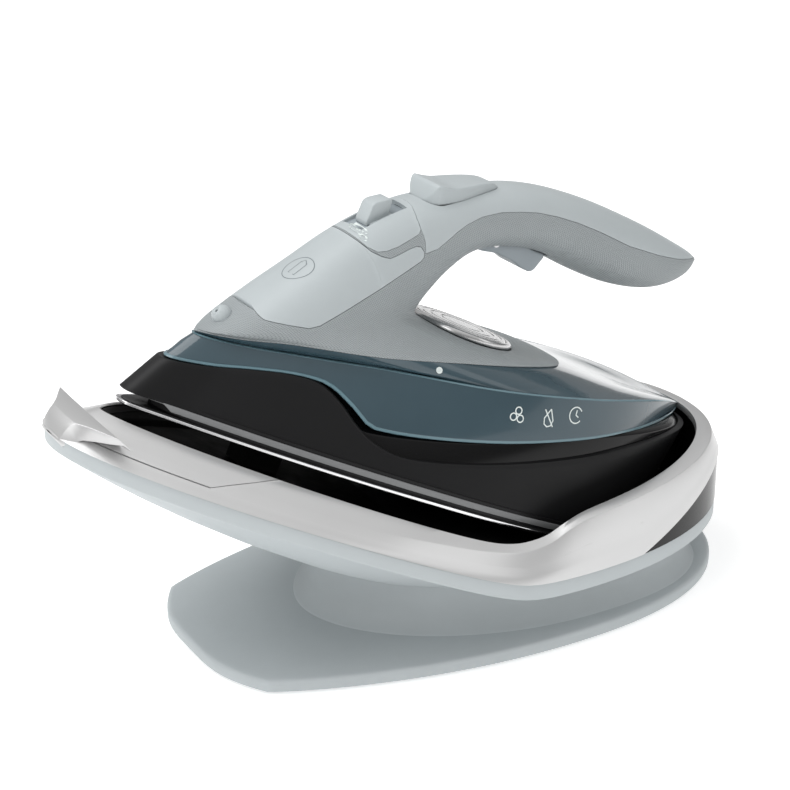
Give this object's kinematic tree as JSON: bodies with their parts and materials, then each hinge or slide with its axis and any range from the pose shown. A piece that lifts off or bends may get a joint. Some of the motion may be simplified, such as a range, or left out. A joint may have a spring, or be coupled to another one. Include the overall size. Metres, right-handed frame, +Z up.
{
  "type": "cordless steam iron on charging cradle",
  "caption": "Cordless steam iron with open-ended handle and clear tank, resting nose-up on a pedestal charging cradle with a latch at its nose.",
  "frame": {"origin": "on the table, under the middle of the cradle base plate, on the mid-plane", "axes": "+X towards the heel of the iron, +Y towards its right side as its user holds it, +Z up"},
  "size_m": [0.3168, 0.1588, 0.1918],
  "materials": {
    "base_grey": "fine satin moulding",
    "black_gloss": "gloss",
    "black_satin": "satin",
    "board": "solder resist",
    "brass": "turned",
    "casting": "as cast",
    "dial_metal": "brushed, polished edge",
    "grip_grey": "fine diagonal knurl",
    "inner_plastic": "natural",
    "pale_grey": "smooth satin moulding",
    "rim_silver": "satin metallic lacquer",
    "rubber": "matte",
    "sole_steel": "polished edge",
    "steel": "zinc plated",
    "tank_teal": "tinted translucent, polished"
  },
  "bodies": {
    "dock": {"base_plate": "base_grey", "base_feet": "rubber", "base_screws": "steel", "pedestal": "base_grey", "dock_shell": "pale_grey", "dock_rim": "rim_silver", "rear_panel": "black_gloss", "well_tub": "black_gloss", "well_pads": "rubber", "contact_block": "black_satin", "contact_pins": "brass", "power_inlet": "rubber", "supply_board": "board"},
    "iron": {"soleplate": "sole_steel", "heater_casting": "casting", "heating_element": "steel", "sole_seal": "black_satin", "lower_housing": "black_satin", "chassis": "black_gloss", "heel_contacts": "black_satin", "water_tank": "tank_teal", "pickup_tube": "inner_plastic", "upper_body": "grip_grey", "filler_surround": "pale_grey", "handle_cover": "pale_grey", "control_panel": "pale_grey", "button_spring": "steel", "trigger_pin": "steel", "trigger_spring": "steel", "pump": "inner_plastic", "lid_pin": "steel", "filler_neck": "inner_plastic", "spray_nozzle": "pale_grey", "thermostat": "steel", "drip_valve": "inner_plastic", "housing_screws": "steel"},
    "latch": {"latch_plate": "rim_silver"},
    "slider": {"steam_slider": "pale_grey", "slider_rod": "steel"},
    "button": {"boost_button": "pale_grey"},
    "trigger": {"steam_trigger": "pale_grey"},
    "lid": {"fill_lid": "pale_grey"},
    "dial": {"temperature_dial": "dial_metal", "dial_cap": "dial_metal", "dial_shaft": "steel"}
  },
  "joints": [
    {"name": "iron_lift_off", "type": "slide", "parent": "dock", "child": "iron", "axis": [0, 0, 1], "range_m": [0, 0.12]},
    {"name": "latch_slide", "type": "slide", "parent": "dock", "child": "latch", "axis": [-0.766, 0, 0.6428], "range_m": [0, 0.006], "stiffness_N_per_m": 300, "springref_m": -0.003},
    {"name": "steam_slider_slide", "type": "slide", "parent": "iron", "child": "slider", "axis": [0.9686, 0, 0.2487], "range_m": [-0.004, 0.004]},
    {"name": "boost_button_press", "type": "slide", "parent": "iron", "child": "button", "axis": [-0.0419, 0, -0.9991], "range_m": [0, 0.0025], "stiffness_N_per_m": 400, "springref_m": -0.003},
    {"name": "steam_trigger_squeeze", "type": "hinge", "parent": "iron", "child": "trigger", "pos_m": [0.01487, 0, 0.1622], "axis": [0, -1, 0], "range_deg": [0, 6], "stiffness_Nm_per_rad": 0.3, "springref_deg": -11.46},
    {"name": "fill_lid_hinge", "type": "hinge", "parent": "iron", "child": "lid", "pos_m": [-0.09582, 0, 0.15269], "axis": [0, -1, 0], "range_deg": [0, 85]},
    {"name": "temperature_dial_turn", "type": "hinge", "parent": "iron", "child": "dial", "pos_m": [0.00433, 0, 0.12232], "axis": [0.4226, 0, 0.9063], "range_deg": [-135, 135]}
  ]
}
